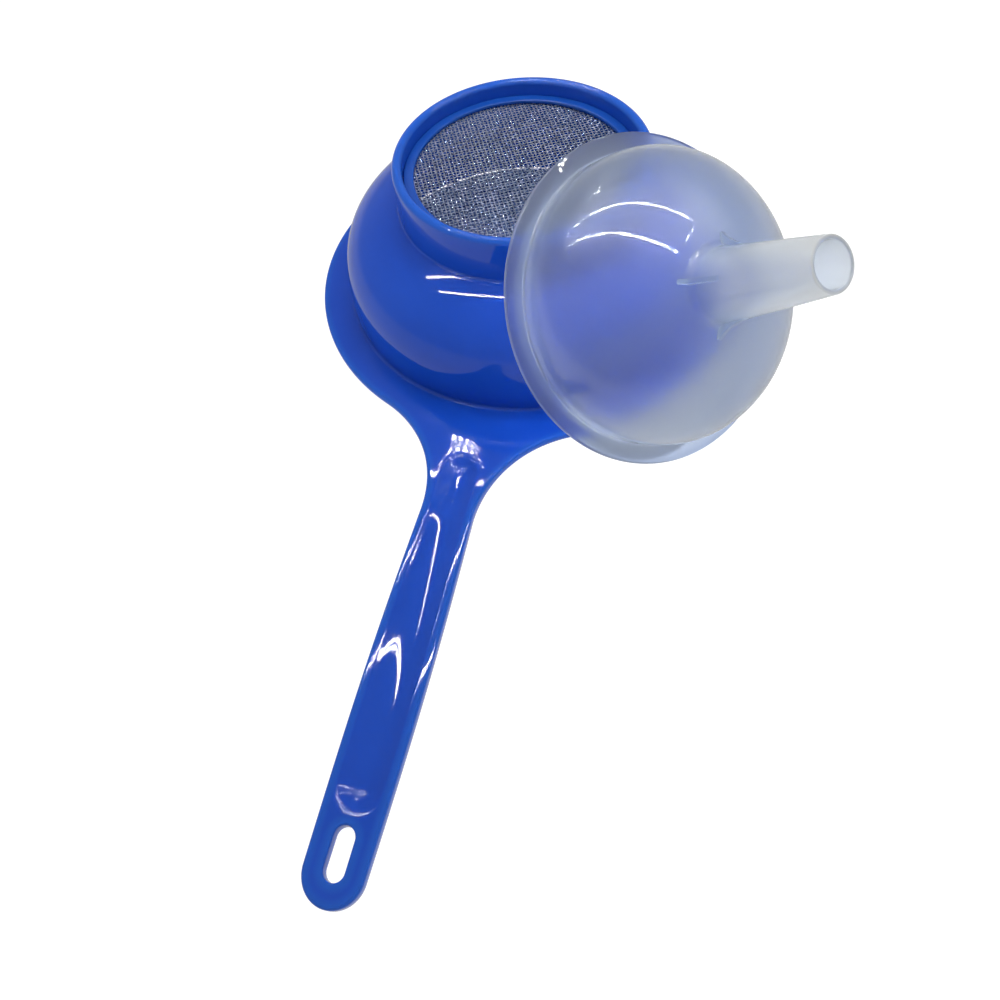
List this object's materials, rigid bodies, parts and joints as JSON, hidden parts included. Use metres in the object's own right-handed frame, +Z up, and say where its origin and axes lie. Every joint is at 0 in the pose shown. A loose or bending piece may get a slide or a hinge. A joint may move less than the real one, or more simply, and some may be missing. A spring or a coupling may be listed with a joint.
{
  "type": "double sieve strainer",
  "caption": "Hand-held plastic honey strainer with a round bowl, a flat rim and long handle, a stack of woven wire sieves in its collar, and a loose push-on funnel with a tapered spout.",
  "frame": {"origin": "centre of the bowl's mouth, in the plane of the rim that the strainer stands on", "axes": "+Z up along the bowl's axis, from the mouth to the collar; -Y along the handle"},
  "size_m": [0.1552, 0.2664, 0.0794],
  "materials": {
    "blue_plastic": "glossy moulded polypropylene",
    "ring_plastic": "satin moulded polypropylene",
    "coarse_mesh": "woven stainless wire",
    "fine_mesh": "woven stainless wire",
    "frosted_plastic": "frosted translucent polypropylene"
  },
  "bodies": {
    "strainer": {"strainer_body": "blue_plastic", "coarse_sieve": "coarse_mesh", "sieve_spacer_ring": "ring_plastic", "fine_sieve": "fine_mesh", "sieve_retaining_ring": "ring_plastic"},
    "funnel": {"funnel": "frosted_plastic"}
  },
  "joints": [
    {"name": "funnel_lift", "type": "slide", "parent": "strainer", "child": "funnel", "axis": [0.5934, -0.3957, 0.7009], "range_m": [0, 0.1]}
  ]
}
